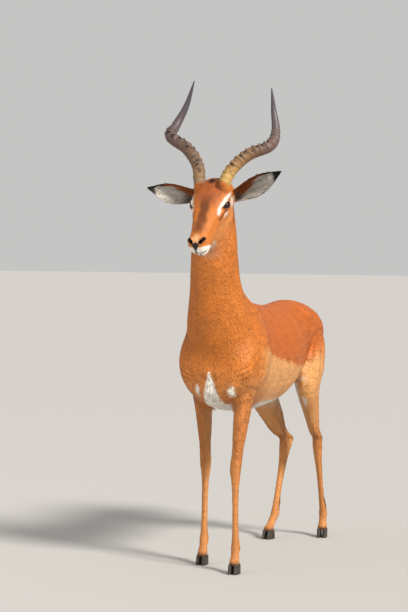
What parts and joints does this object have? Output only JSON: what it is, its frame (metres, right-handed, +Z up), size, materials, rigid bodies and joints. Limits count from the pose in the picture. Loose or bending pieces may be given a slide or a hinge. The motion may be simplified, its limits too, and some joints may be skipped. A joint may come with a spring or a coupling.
{
  "type": "adult male impala antelope, standing",
  "caption": "Life-size adult impala ram standing alert with raised head, lyre-shaped ringed horns, spread ears, slim legs and cloven hooves; a still figure.",
  "frame": {"origin": "on the ground, under the middle of the bounding box", "axes": "+Z up, the ram faces -Y, and its left side is +X"},
  "size_m": [0.4658, 1.0738, 1.6281],
  "materials": {
    "coat": "short sleek hair, rufous above, pale tan on the flank, white below",
    "horn": "dry ringed horn, ochre at the base and nearly black above",
    "hoof": "dull black hoof horn",
    "eye": "wet and glossy"
  },
  "bodies": {
    "root": {"horn_left": "horn", "ear_left": "coat", "horn_right": "horn", "ear_right": "coat", "eye_left": "eye", "eye_right": "eye", "hoof_foreleg_left_inner": "hoof", "hoof_foreleg_left_outer": "hoof", "hoof_hindleg_left_inner": "hoof", "hoof_hindleg_left_outer": "hoof", "hoof_foreleg_right_inner": "hoof", "hoof_foreleg_right_outer": "hoof", "hoof_hindleg_right_inner": "hoof", "hoof_hindleg_right_outer": "hoof", "head": "coat", "neck": "coat", "foreleg_lower_left": "coat", "foreleg_upper_left": "coat", "hindleg_lower_left": "coat", "hindleg_upper_left": "coat", "foreleg_lower_right": "coat", "foreleg_upper_right": "coat", "hindleg_lower_right": "coat", "hindleg_upper_right": "coat", "tail": "coat", "trunk": "coat"}
  },
  "joints": []
}
